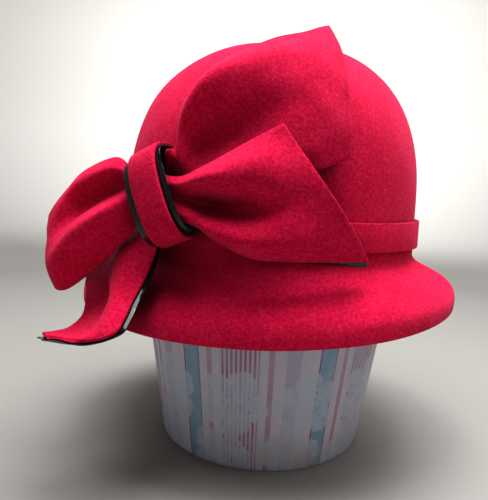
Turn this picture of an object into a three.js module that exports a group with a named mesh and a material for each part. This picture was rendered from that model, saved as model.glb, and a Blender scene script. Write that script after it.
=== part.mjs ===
// A felt cloche hat with a bow of two crossed ribbons, standing on a tapered round box.
// Lengths are in millimetres and +Z is up. The origin is the centre of the box's base, on the surface it
// stands on. The bow faces -Y, the side that the viewer sees, and +X is to the viewer's right.
import * as THREE from "three";

// The round box: a tapered tub of board, open at the top.
const boxBaseRadius = 70.5;
const boxRimRadius = 88.4;
const boxHeight = 126;
const boxWall = 2;

// The felt hood: crown and brim in one piece. Lengths run along X and widths along Y, outside the felt.
const feltWall = 2.5;
const crownHalfLength = 98;
const crownHalfWidth = 90;
const crownSideHeight = 22.5;
const crownDomeHeight = 109.5;
const crownFullness = 2.52;
const crownLean = 3;
const brimFlareLength = 28.5;
const brimFlareWidth = 24;
const brimDrop = 30;
const brimDip = 10;
const brimLean = 4;
const brimEdgeRound = 0.9;
const seatClearance = 0.4;

// The band: a strip of felt round the foot of the crown.
const bandHeight = 17;
const bandThickness = 2.5;
const bandClearance = 0.3;

// The bow: felt ribbons lined with patent leather, drawn through a knot that lies against the band.
const bowStand = 30;
const ribbonFelt = 2;
const ribbonLining = 0.8;
const layerGap = 0.3;
const liningMargin = 3;
const knotTurnAngle = -27.2;
const knotRiseShare = 0.095;
const knotTilt = 22;
const knotHalfHeight = 26;
const knotHalfDepth = 14.5;
const knotFeltWidth = 18;
const knotLiningWidth = 27;
const knotLiningShift = -1;
const knotFelt = 2;
const knotLining = 0.8;
const knotFullness = 2.6;

// How finely the curved faces are divided.
const roundSteps = 48;
const ribbonStepsAlong = 24;
const ribbonStepsAcross = 10;
const knotSteps = 32;

// The brim from the foot of the crown to its edge, as shares of the flare and of the drop.
const brimProfile = [
  { out: 1.0, drop: 1.0 },
  { out: 1.0, drop: 0.86 },
  { out: 0.95, drop: 0.72 },
  { out: 0.78, drop: 0.56 },
  { out: 0.48, drop: 0.39 },
  { out: 0.2, drop: 0.23 },
  { out: 0.05, drop: 0.1 },
];

// The dome from the spring line to the apex, as angles of its rounded arc.
const domeAngles = [0, 3, 9, 18, 29, 41, 54, 66, 77];

// A ribbon is a row for each section, from one end to the other. Sections off the knot give both edges as
// turns round the crown in degrees and rises as shares of the dome's height. Sections in the knot give
// their place along it, and both edges, as shares of its inside. Stands are how far the felt's face lies
// off the crown, from one edge to the other, in hundredths of bowStand, or of the knot's inner half depth.
// Lining is the share of liningMargin by which the lining shows past the second edge.
const tailRibbon = [
  { turn: 23.8, rise: 0.877, turn2: 24.1, rise2: 0.306, lining: 0, stands: [50, 44, 40, 36, 32, 30, 26] },
  { turn: 10, rise: 0.83, turn2: 18.4, rise2: 0.264, lining: 0, stands: [46, 54, 50, 46, 42, 36, 26] },
  { turn: -4.2, rise: 0.775, turn2: 12.4, rise2: 0.23, lining: 0, stands: [46, 64, 56, 42, 40, 38, 27] },
  { turn: -18, rise: 0.672, turn2: 3.6, rise2: 0.184, lining: 0, stands: [50, 80, 57, 27, 30, 43, 30] },
  { turn: -23.8, rise: 0.558, turn2: -5.1, rise2: 0.161, lining: 0, stands: [54, 80, 48, 21, 28, 48, 34] },
  { turn: -26, rise: 0.428, turn2: -14.2, rise2: 0.145, lining: 0, stands: [57, 65, 49, 30, 33, 46, 37] },
  { turn: -25.3, rise: 0.302, turn2: -19, rise2: 0.135, lining: 0, stands: [58, 60, 55, 48, 45, 46, 41] },
  { along: 0.33, top: 0.84, low: -0.1, lining: 0, stands: [16, -2, -18, -28, -34, -35, -40] },
  { along: -0.09, top: 0.15, low: -0.6, lining: 0, stands: [-50, -54, -56, -54, -54, -50, -46] },
  { along: -0.52, top: -0.4, low: -0.9, lining: 0.2, stands: [-30, -20, -10, -2, -1, -10, -20] },
  { turn: -56, rise: -0.11, turn2: -30.6, rise2: -0.2, lining: 0.8, stands: [44, 46, 52, 64, 80, 78, 60] },
  { turn: -57.5, rise: -0.335, turn2: -30, rise2: -0.3, lining: 1, stands: [94, 88, 84, 88, 104, 108, 88] },
  { turn: -50.5, rise: -0.45, turn2: -29.6, rise2: -0.39, lining: 1,
    stands: [112, 101, 95, 100, 124, 134, 118] },
  { turn: -47, rise: -0.523, turn2: -28.6, rise2: -0.455, lining: 1,
    stands: [130, 124, 122, 128, 150, 158, 146] },
  { turn: -46, rise: -0.573, turn2: -28.6, rise2: -0.51, lining: 1,
    stands: [158, 156, 157, 164, 174, 178, 168] },
  { turn: -45.9, rise: -0.58, turn2: -33, rise2: -0.55, lining: 1,
    stands: [182, 182, 183, 186, 190, 192, 188] },
  { turn: -45.7, rise: -0.575, turn2: -41, rise2: -0.564, lining: 1,
    stands: [204, 205, 206, 208, 211, 212, 210] },
];

const loopRibbon = [
  { turn: 3.3, rise: 0.39, turn2: 29.5, rise2: -0.178, lining: 1, stands: [68, 73, 75, 74, 68, 58, 46] },
  { turn: -3.1, rise: 0.34, turn2: 12.3, rise2: -0.178, lining: 0.5, stands: [66, 88, 90, 76, 80, 76, 50] },
  { turn: -9.4, rise: 0.279, turn2: -1.8, rise2: -0.173, lining: 0.1, stands: [68, 100, 92, 50, 84, 92, 56] },
  { turn: -15.7, rise: 0.216, turn2: -11.3, rise2: -0.109, lining: 0, stands: [72, 102, 78, 42, 86, 94, 60] },
  { along: 0.52, top: 0.2, low: -0.9, lining: 0, stands: [50, 74, 46, 2, 50, 66, 42] },
  { along: 0, top: 0.6, low: -0.55, lining: 0, stands: [82, 97, 94, 86, 94, 97, 82] },
  { along: -0.52, top: 0.9, low: -0.2, lining: 0, stands: [15, 42, 34, 46, 64, 55, 45] },
  { turn: -43.5, rise: 0.245, turn2: -36, rise2: -0.1, lining: 0, stands: [85, 100, 72, 94, 126, 110, 82] },
  { turn: -51.5, rise: 0.17, turn2: -42, rise2: -0.25, lining: 0,
    stands: [120, 138, 108, 140, 162, 142, 112] },
  { turn: -54.8, rise: 0.02, turn2: -48.2, rise2: -0.39, lining: 0,
    stands: [160, 168, 168, 176, 182, 172, 154] },
  { turn: -58.5, rise: -0.05, turn2: -54, rise2: -0.4, lining: 0,
    stands: [166, 170, 170, 174, 174, 170, 164] },
  { turn: -62.5, rise: 0, turn2: -58, rise2: -0.34, lining: 0, stands: [136, 138, 140, 140, 140, 138, 136] },
  { turn: -56, rise: 0.1, turn2: -53, rise2: -0.2, lining: 0, stands: [86, 86, 86, 86, 86, 86, 86] },
  { turn: -46, rise: 0.21, turn2: -44.5, rise2: 0.04, lining: 0, stands: [42, 42, 42, 42, 42, 42, 42] },
  { along: -0.37, top: 0.72, low: 0.2, lining: 0, stands: [-45, -45, -45, -45, -45, -45, -45] },
];

const feltRed = new THREE.MeshStandardMaterial({ color: 0xc4133f, roughness: 0.95, metalness: 0 });
const patentBlack = new THREE.MeshStandardMaterial({ color: 0x0b0b10, roughness: 0.12, metalness: 0 });
const printedBoard = new THREE.MeshStandardMaterial({ color: 0xb9b4c2, roughness: 0.7, metalness: 0 });

const radians = THREE.MathUtils.degToRad;
const lerp = THREE.MathUtils.lerp;

// The hat's own level: the foot of the crown is at height 0 here, and seatLevel lifts the hat on the box.
const springLine = crownSideHeight;

// The crown's outer face at a turn from the viewer's side and a rise off the spring line, and its normal.
function crownFace(turn, rise) {
  const a = radians(turn);
  const up = THREE.MathUtils.clamp(rise, 0, 0.9999);
  const r = (1 - up ** crownFullness) ** (1 / crownFullness);
  const point = new THREE.Vector3(
    crownHalfLength * r * Math.sin(a) + crownLean * up * up,
    -crownHalfWidth * r * Math.cos(a),
    springLine + rise * crownDomeHeight,
  );
  const normal = new THREE.Vector3(
    (r ** (crownFullness - 1) * Math.sin(a)) / crownHalfLength,
    (-(r ** (crownFullness - 1)) * Math.cos(a)) / crownHalfWidth,
    up ** (crownFullness - 1) / crownDomeHeight,
  ).normalize();
  return { point, normal };
}

// The brim's face at a turn, for one row of its profile.
function brimFace(turn, row) {
  const a = radians(turn);
  const drop = brimDrop + brimDip * Math.cos(a) - brimLean * Math.sin(a);
  return new THREE.Vector3(
    (crownHalfLength + brimFlareLength * row.out) * Math.sin(a),
    -(crownHalfWidth + brimFlareWidth * row.out) * Math.cos(a),
    -drop * row.drop,
  );
}

// The outer face of the hood, ring by ring from the brim's edge to just under the apex.
function hoodRings() {
  const turns = Array.from({ length: roundSteps }, (_, i) => (360 * i) / roundSteps);
  const rings = brimProfile.map((row) => turns.map((turn) => brimFace(turn, row)));
  rings.push(turns.map((turn) => crownFace(turn, -springLine / crownDomeHeight).point));
  for (const angle of domeAngles) {
    const rise = Math.sin(radians(angle)) ** (2 / crownFullness);
    rings.push(turns.map((turn) => crownFace(turn, rise).point));
  }
  return rings;
}

// Normals of a grid of points whose rings close on themselves.
function ringNormals(rings, apex) {
  return rings.map((ring, j) =>
    ring.map((_, i) => {
      const below = rings[Math.max(j - 1, 0)][i];
      const above = j + 1 < rings.length ? rings[j + 1][i] : apex;
      const before = ring[(i + ring.length - 1) % ring.length];
      const after = ring[(i + 1) % ring.length];
      const up = new THREE.Vector3().subVectors(above, below);
      return new THREE.Vector3().subVectors(after, before).cross(up).normalize();
    }),
  );
}

// A mesh from points and triangles, turned to face out.
function solid(name, points, triangles, material) {
  let volume = 0;
  for (const [a, b, c] of triangles) {
    volume += points[a].dot(new THREE.Vector3().crossVectors(points[b], points[c]));
  }
  const facing = volume < 0 ? triangles.map(([a, b, c]) => [a, c, b]) : triangles;
  const geometry = new THREE.BufferGeometry().setFromPoints(points);
  geometry.setIndex(facing.flat());
  geometry.computeVertexNormals();
  const mesh = new THREE.Mesh(geometry, material);
  mesh.name = name;
  return mesh;
}

// Triangles between neighbouring rings of points, joined in order; ring numbers index the points.
function ringTriangles(rings, count) {
  const triangles = [];
  for (let k = 0; k + 1 < rings.length; k++) {
    for (let i = 0; i < count; i++) {
      const a = rings[k] * count + i;
      const b = rings[k] * count + ((i + 1) % count);
      const c = rings[k + 1] * count + i;
      const d = rings[k + 1] * count + ((i + 1) % count);
      triangles.push([a, b, d], [a, d, c]);
    }
  }
  return triangles;
}

// The hood: outer and inner faces joined by a rounded edge, with a fan at each apex.
function feltHood() {
  const outer = hoodRings();
  const apex = crownFace(0, 1).point;
  apex.y = 0;
  const normals = ringNormals(outer, apex);
  const inner = outer.map((ring, j) =>
    ring.map((p, i) => p.clone().addScaledVector(normals[j][i], -feltWall)),
  );
  const edge = outer[0].map((p, i) => {
    const middle = p.clone().add(inner[0][i]).multiplyScalar(0.5);
    const outward = new THREE.Vector3().subVectors(p, outer[1][i]).normalize();
    return middle.addScaledVector(outward, brimEdgeRound);
  });
  const rings = [...outer.slice().reverse(), edge, ...inner];
  const points = rings.flat();
  const triangles = ringTriangles(
    rings.map((_, k) => k),
    roundSteps,
  );
  const lower = apex.clone().setZ(apex.z - feltWall);
  const top = points.push(apex) - 1;
  const under = points.push(lower) - 1;
  const last = (rings.length - 1) * roundSteps;
  for (let i = 0; i < roundSteps; i++) {
    const next = (i + 1) % roundSteps;
    triangles.push([top, next, i]);
    triangles.push([under, last + i, last + next]);
  }
  return { mesh: solid("felt_hood", points, triangles, feltRed), inner };
}

// How high the hat stands: the box's rim meets the hood's inner face where the opening is tightest.
function seatLevel(inner) {
  const reach = boxRimRadius + seatClearance;
  let highest = Infinity;
  for (let i = 0; i < roundSteps; i++) {
    const wall = inner.map((ring) => ring[i]);
    let meets = wall[0].z;
    for (let j = wall.length - 1; j > 0; j--) {
      const above = Math.hypot(wall[j].x, wall[j].y);
      const below = Math.hypot(wall[j - 1].x, wall[j - 1].y);
      if (above < reach && below >= reach) {
        meets = lerp(wall[j].z, wall[j - 1].z, (reach - above) / (below - above));
        break;
      }
    }
    highest = Math.min(highest, meets);
  }
  return boxHeight - highest;
}

// The band: a closed strip, its top edge on the spring line.
function feltBand() {
  const low = springLine - bandHeight;
  const corners = [
    { off: bandClearance, z: low },
    { off: bandClearance + bandThickness, z: low },
    { off: bandClearance + bandThickness, z: springLine },
    { off: bandClearance, z: springLine },
  ];
  const points = corners.flatMap(({ off, z }) =>
    Array.from({ length: roundSteps }, (_, i) => {
      const { point, normal } = crownFace((360 * i) / roundSteps, 0);
      return point.addScaledVector(normal, off).setZ(z);
    }),
  );
  return solid("band", points, ringTriangles([0, 1, 2, 3, 0], roundSteps), feltRed);
}

// The knot's frame: its centre off the crown, the way out, the way through it and the way up it.
const bandProud = bandClearance + bandThickness;
const knotFrame = (() => {
  const { point, normal } = crownFace(knotTurnAngle, knotRiseShare);
  const level = new THREE.Vector3(normal.x, normal.y, 0).normalize();
  const foot = crownFace(knotTurnAngle, 0).point;
  const centre = foot.setZ(point.z).addScaledVector(level, bandProud + layerGap + knotHalfDepth);
  const across = new THREE.Vector3(0, 0, 1).cross(level);
  const through = across.applyAxisAngle(level, radians(knotTilt));
  const up = new THREE.Vector3().crossVectors(level, through);
  return { centre, out: level, through, up };
})();
const knotWall = knotFelt + layerGap + knotLining;
const knotInnerHeight = knotHalfHeight - knotWall - layerGap;
const knotInnerDepth = knotHalfDepth - knotWall - layerGap;

// A point by the knot's own shares: along it, up it and out of it.
function knotPoint(along, rise, out) {
  return knotFrame.centre
    .clone()
    .addScaledVector(knotFrame.through, along * knotLiningWidth)
    .addScaledVector(knotFrame.up, rise * knotInnerHeight)
    .addScaledVector(knotFrame.out, out * knotInnerDepth);
}

// The knot's loop of one layer: outer face inset from the knot's outside, a thickness and a width.
function knotLoop(name, inset, thickness, width, shift, material) {
  const rings = [
    { depth: inset, side: -0.5 },
    { depth: inset, side: 0.5 },
    { depth: inset + thickness, side: 0.5 },
    { depth: inset + thickness, side: -0.5 },
  ];
  const points = rings.flatMap(({ depth, side }) =>
    Array.from({ length: knotSteps }, (_, i) => {
      const a = (2 * Math.PI * i) / knotSteps;
      const power = 2 / knotFullness;
      const up = Math.sign(Math.cos(a)) * Math.abs(Math.cos(a)) ** power * (knotHalfHeight - depth);
      const out = Math.sign(Math.sin(a)) * Math.abs(Math.sin(a)) ** power * (knotHalfDepth - depth);
      return knotFrame.centre
        .clone()
        .addScaledVector(knotFrame.through, side * width + shift)
        .addScaledVector(knotFrame.up, up)
        .addScaledVector(knotFrame.out, out);
    }),
  );
  return solid(name, points, ringTriangles([0, 1, 2, 3, 0], knotSteps), material);
}

// The points across a ribbon's section.
function sectionPoints(row) {
  return row.stands.map((hundredths, k) => {
    const t = k / (row.stands.length - 1);
    const stand = hundredths / 100;
    if (row.along !== undefined) {
      return knotPoint(row.along, lerp(row.top, row.low, t), stand);
    }
    const { point, normal } = crownFace(lerp(row.turn, row.turn2, t), lerp(row.rise, row.rise2, t));
    return point.addScaledVector(normal, stand * bowStand);
  });
}

function curveThrough(points) {
  return new THREE.CatmullRomCurve3(points, false, "catmullrom", 0.5);
}

// A ribbon's face as a grid of points, and the outward normal at each.
function ribbonFace(rows) {
  const sections = rows.map((row) => {
    const curve = curveThrough(sectionPoints(row));
    return Array.from({ length: ribbonStepsAcross + 1 }, (_, j) => curve.getPoint(j / ribbonStepsAcross));
  });
  const columns = Array.from({ length: ribbonStepsAcross + 1 }, (_, j) => {
    const curve = curveThrough(sections.map((section) => section[j]));
    return Array.from({ length: ribbonStepsAlong + 1 }, (_, i) => curve.getPoint(i / ribbonStepsAlong));
  });
  const grid = Array.from({ length: ribbonStepsAlong + 1 }, (_, i) => columns.map((column) => column[i]));
  const near = (list, k) => list[THREE.MathUtils.clamp(k, 0, list.length - 1)];
  const slopes = grid.map((line, i) =>
    line.map((_, j) => ({
      along: new THREE.Vector3().subVectors(near(grid, i + 1)[j], near(grid, i - 1)[j]).normalize(),
      across: new THREE.Vector3().subVectors(near(line, j + 1), near(line, j - 1)).normalize(),
    })),
  );
  const normals = slopes.map((line) =>
    line.map(({ along, across }) => new THREE.Vector3().crossVectors(along, across).normalize()),
  );
  return { grid, slopes, normals };
}

// One layer of a ribbon, between two depths under its face. A margin carries it past the felt's second
// edge and last end, where the row's lining shows.
function ribbonLayer(name, rows, near, far, margin, material) {
  const { grid, slopes, normals } = ribbonFace(rows);
  const wide = ribbonStepsAcross + 1;
  const shown = (i) => {
    const k = (i / ribbonStepsAlong) * (rows.length - 1);
    const low = Math.min(Math.floor(k), rows.length - 2);
    return lerp(rows[low].lining, rows[low + 1].lining, k - low);
  };
  const layer = (depth) =>
    grid.flatMap((line, i) =>
      line.map((p, j) => {
        const point = p.clone().addScaledVector(normals[i][j], -depth);
        const past = j === ribbonStepsAcross ? margin * shown(i) : 0;
        const beyond = i === ribbonStepsAlong ? margin * shown(i) : 0;
        return point.addScaledVector(slopes[i][j].across, past).addScaledVector(slopes[i][j].along, beyond);
      }),
    );
  const points = [...layer(near), ...layer(far)];
  const behind = wide * (ribbonStepsAlong + 1);
  const triangles = [];
  for (let i = 0; i < ribbonStepsAlong; i++) {
    for (let j = 0; j < ribbonStepsAcross; j++) {
      const a = i * wide + j;
      triangles.push([a, a + 1, a + wide + 1], [a, a + wide + 1, a + wide]);
      const b = a + behind;
      triangles.push([b, b + wide + 1, b + 1], [b, b + wide, b + wide + 1]);
    }
  }
  const border = [
    ...Array.from({ length: ribbonStepsAcross }, (_, j) => j),
    ...Array.from({ length: ribbonStepsAlong }, (_, i) => i * wide + ribbonStepsAcross),
    ...Array.from({ length: ribbonStepsAcross }, (_, j) => behind - 1 - j),
    ...Array.from({ length: ribbonStepsAlong }, (_, i) => (ribbonStepsAlong - i) * wide),
  ];
  border.forEach((a, k) => {
    const b = border[(k + 1) % border.length];
    triangles.push([a, a + behind, b + behind], [a, b + behind, b]);
  });
  return solid(name, points, triangles, material);
}

function roundBox() {
  const floorRadius = lerp(boxBaseRadius, boxRimRadius, boxWall / boxHeight) - boxWall;
  const profile = [
    new THREE.Vector2(0, 0),
    new THREE.Vector2(boxBaseRadius, 0),
    new THREE.Vector2(boxRimRadius, boxHeight),
    new THREE.Vector2(boxRimRadius - boxWall, boxHeight),
    new THREE.Vector2(floorRadius, boxWall),
    new THREE.Vector2(0, boxWall),
  ];
  const geometry = new THREE.LatheGeometry(profile, roundSteps, Math.PI / 2);
  geometry.rotateX(Math.PI / 2);
  const mesh = new THREE.Mesh(geometry, printedBoard);
  mesh.name = "round_box";
  return mesh;
}

const { mesh: hood, inner } = feltHood();
const hat = new THREE.Group();
hat.position.z = seatLevel(inner);
hat.add(hood, feltBand());

const ribbons = { tail_ribbon: tailRibbon, loop_ribbon: loopRibbon };
for (const [name, rows] of Object.entries(ribbons)) {
  const liningTop = ribbonFelt + layerGap;
  hat.add(ribbonLayer(`${name}_felt`, rows, 0, ribbonFelt, 0, feltRed));
  hat.add(
    ribbonLayer(`${name}_lining`, rows, liningTop, liningTop + ribbonLining, liningMargin, patentBlack),
  );
}
hat.add(knotLoop("knot_felt", 0, knotFelt, knotFeltWidth, 0, feltRed));
const stripTop = knotFelt + layerGap;
hat.add(knotLoop("knot_lining", stripTop, knotLining, knotLiningWidth, knotLiningShift, patentBlack));

const part = new THREE.Group();
part.add(roundBox(), hat);
export default part;
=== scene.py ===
"""A cloche hat of wool felt with a looped bow, standing on a printed round box.

The hat is one blocked hood with a narrow band. The bow is two felt ribbons, lined with patent leather and
drawn through a knot. Sizes are in millimetres here and become metres only when a mesh is made. The origin is
the centre of the box's base, +Z is up and the bow faces -Y.
"""

from __future__ import annotations

import logging
import math
from collections.abc import Sequence
from dataclasses import dataclass, field
from enum import Enum

import bpy
import numpy as np
from bpy.types import Material, Node, NodeSocket, NodeTree, Object
from mathutils import Matrix, Vector

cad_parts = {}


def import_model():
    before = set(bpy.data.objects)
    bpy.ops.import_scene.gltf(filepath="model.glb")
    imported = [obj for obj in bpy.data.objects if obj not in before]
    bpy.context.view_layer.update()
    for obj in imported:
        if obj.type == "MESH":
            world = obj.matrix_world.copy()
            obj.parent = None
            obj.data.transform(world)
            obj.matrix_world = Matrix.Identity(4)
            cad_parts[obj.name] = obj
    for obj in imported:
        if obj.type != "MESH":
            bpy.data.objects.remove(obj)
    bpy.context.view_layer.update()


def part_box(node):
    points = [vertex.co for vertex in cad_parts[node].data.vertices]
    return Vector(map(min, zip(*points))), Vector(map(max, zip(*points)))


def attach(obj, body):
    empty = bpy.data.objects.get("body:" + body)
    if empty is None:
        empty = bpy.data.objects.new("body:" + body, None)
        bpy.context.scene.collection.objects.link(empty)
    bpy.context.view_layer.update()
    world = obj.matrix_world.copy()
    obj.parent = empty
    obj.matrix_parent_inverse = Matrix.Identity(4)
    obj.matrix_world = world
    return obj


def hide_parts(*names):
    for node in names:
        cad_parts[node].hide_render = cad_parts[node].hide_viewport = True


log = logging.getLogger("cloche_hat")

# Metres in a millimetre.
MM = 0.001
# The air between two layers of the bow, in millimetres.
LAYER_GAP = 0.3
# Where the rows of a half-round edge lie, in degrees from one face of the sheet to the other.
EDGE_TURNS = (30, 60, 90, 120, 150)
# How much of a rounded corner's middle point stays at the corner.
CORNER_PULL = 0.58


class Slot(Enum):
    """The material slots of the part."""

    FELT = "wool_felt"
    PATENT = "patent_leather"
    BOARD = "printed_board"


# Colours and shader nodes


def linear(value: str) -> tuple[float, float, float, float]:
    """Turn an sRGB hex colour into the linear colour that a shader takes.

    Args:
        value: The colour, such as "#c4133f".

    Returns:
        Linear red, green and blue, and an alpha of one.
    """
    parts = [int(value.lstrip("#")[i : i + 2], 16) / 255 for i in (0, 2, 4)]
    red, green, blue = (p / 12.92 if p <= 0.04045 else ((p + 0.055) / 1.055) ** 2.4 for p in parts)
    return red, green, blue, 1.0


def add_node(tree: NodeTree, kind: str, inputs: dict | None = None, **settings: object) -> Node:
    """Add a node, set its properties, and fill or link its inputs.

    Args:
        tree: The node tree that gets the node.
        kind: The node's type name, without the ShaderNode in front.
        inputs: Socket name or number to a value, or to the output socket that feeds it.
        **settings: Properties of the node itself.

    Returns:
        The new node.
    """
    node = tree.nodes.new(f"ShaderNode{kind}")
    for name, value in settings.items():
        setattr(node, name, value)
    for key, value in (inputs or {}).items():
        if isinstance(value, NodeSocket):
            tree.links.new(value, node.inputs[key])
        else:
            node.inputs[key].default_value = value
    return node


def new_material(name: str) -> tuple[Material, NodeTree]:
    """Make an empty node material.

    Args:
        name: The material's name.

    Returns:
        The material and its node tree.
    """
    material = bpy.data.materials.new(name)
    material.use_nodes = True
    material.node_tree.nodes.clear()
    return material, material.node_tree


def finish_material(tree: NodeTree, shader: Node) -> None:
    """Link a shader to the material's output."""
    add_node(tree, "OutputMaterial", {"Surface": shader.outputs[0]})


def stop_ramp(
    tree: NodeTree, factor: NodeSocket, stops: Sequence[tuple[float, str]], interpolation: str = "LINEAR"
) -> NodeSocket:
    """Add a colour ramp.

    Args:
        tree: The node tree.
        factor: The socket that the ramp reads.
        stops: Position and sRGB hex colour of each stop.
        interpolation: How the ramp goes from stop to stop.

    Returns:
        The ramp's colour socket.
    """
    ramp = add_node(tree, "ValToRGB", {0: factor})
    ramp.color_ramp.interpolation = interpolation
    elements = ramp.color_ramp.elements
    while len(elements) < len(stops):
        elements.new(0.5)
    for element, (position, colour) in zip(elements, stops):
        element.position = position
        element.color = linear(colour)
    return ramp.outputs[0]


def calc(tree: NodeTree, operation: str, *values: object) -> NodeSocket:
    """Add a maths node on numbers or sockets and return its result."""
    return add_node(tree, "Math", dict(enumerate(values)), operation=operation).outputs[0]


def scale_to(
    tree: NodeTree, value: NodeSocket, start: float, end: float, low: float, high: float
) -> NodeSocket:
    """Map a value between start and end to one between low and high, and clamp it."""
    return add_node(tree, "MapRange", {0: value, 1: start, 2: end, 3: low, 4: high}).outputs[0]


def blend(tree: NodeTree, share: object, under: object, over: object) -> NodeSocket:
    """Lay one colour over another by a share."""
    return add_node(tree, "MixRGB", {0: share, 1: under, 2: over}).outputs[0]


def noise(tree: NodeTree, place: NodeSocket, size_mm: float, detail: float, rough: float) -> NodeSocket:
    """Add a noise whose patches are about size_mm across.

    Args:
        tree: The node tree.
        place: Where the surface is, in metres.
        size_mm: The patches' size in millimetres.
        detail: Octaves of finer noise.
        rough: How strong the finer noise is.

    Returns:
        The noise's value.
    """
    inputs = {"Vector": place, "Scale": 1 / (size_mm * MM), "Detail": detail, "Roughness": rough}
    return add_node(tree, "TexNoise", inputs).outputs[0]


@dataclass(frozen=True)
class BrushedWoolFelt:
    """Wool felt, wet-blocked and brushed: a matt dense nap with a soft pink bloom at glancing angles.

    The nap lies in clumps of fibre, and the blotches are where the brushing laid it different ways. Clumps
    are about a millimetre and single fibres far finer, so both are drawn as coarse as they need to show.
    """

    deep: str = "#b0052c"
    mid: str = "#c90938"
    bloom: str = "#da1b4a"
    # The colour of the painted shade in the folds.
    painted_fold_shade: str = "#4d0010"
    sheen_tint: str = "#ff7ba6"
    # How far the ambient occlusion reaches for the painted shade, in millimetres.
    painted_shade_reach_mm: float = 60.0
    patch_mm: float = 16.0
    clump_mm: float = 1.8
    fibre_mm: float = 0.8
    patch_share: float = 0.3
    fibre_share: float = 0.8
    nap_mm: float = 0.45

    def build(self) -> Material:
        """Make the finish.

        Returns:
            The felt material.
        """
        material, tree = new_material("brushed_wool_felt")
        place = add_node(tree, "TexCoord").outputs["Object"]
        patch = noise(tree, place, self.patch_mm, 2.0, 0.5)
        clump = noise(tree, place, self.clump_mm, 3.0, 0.6)
        fibre = noise(tree, place, self.fibre_mm, 2.0, 0.75)
        # The clumps carry most of the mottling and the brushed patches a little of it.
        fine = calc(tree, "MULTIPLY_ADD", fibre, self.fibre_share, clump)
        mixed = calc(tree, "MULTIPLY_ADD", patch, self.patch_share, fine)
        mottle = calc(tree, "DIVIDE", mixed, 1 + self.fibre_share + self.patch_share)
        colour = stop_ramp(tree, mottle, [(0.41, self.deep), (0.5, self.mid), (0.61, self.bloom)])
        # Painted shade: where ambient occlusion finds folds and nearby parts, the colour is darkened towards
        # a deep maroon.
        painted_shade_occlusion = add_node(tree, "AmbientOcclusion", {"Distance": self.painted_shade_reach_mm * MM}, samples=8)
        depth = scale_to(tree, painted_shade_occlusion.outputs["AO"], 0.2, 0.84, 0.88, 0.0)
        painted_shade_colour = blend(tree, depth, colour, linear(self.painted_fold_shade))
        bump = add_node(tree, "Bump", {"Height": fine, "Strength": 0.5, "Distance": self.nap_mm * MM})
        inputs = {
            "Base Color": painted_shade_colour,
            "Roughness": 0.96,
            "Specular IOR Level": 0.05,
            "Sheen Weight": 0.14,
            "Sheen Roughness": 0.5,
            "Sheen Tint": linear(self.sheen_tint),
            "Normal": bump.outputs[0],
        }
        finish_material(tree, add_node(tree, "BsdfPrincipled", inputs))
        return material


@dataclass(frozen=True)
class PatentLeather:
    """Leather under a flowed lacquer: nearly black, with sharp window-bright lights on a faint ripple."""

    dark: str = "#08080c"
    worn: str = "#15151c"
    ripple_mm: float = 7.0
    flow_mm: float = 0.6

    def build(self) -> Material:
        """Make the finish.

        Returns:
            The patent leather material.
        """
        material, tree = new_material("black_patent_leather")
        place = add_node(tree, "TexCoord").outputs["Object"]
        uneven = noise(tree, place, self.ripple_mm, 1.5, 0.4)
        colour = stop_ramp(tree, uneven, [(0.4, self.dark), (0.7, self.worn)])
        bump = add_node(tree, "Bump", {"Height": uneven, "Strength": 0.4, "Distance": self.flow_mm * MM})
        inputs = {
            "Base Color": colour,
            "Roughness": 0.14,
            "Specular IOR Level": 0.1,
            "Coat Weight": 0.4,
            "Coat Roughness": 0.04,
            "Normal": bump.outputs[0],
            "Coat Normal": bump.outputs[0],
        }
        finish_material(tree, add_node(tree, "BsdfPrincipled", inputs))
        return material


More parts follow.
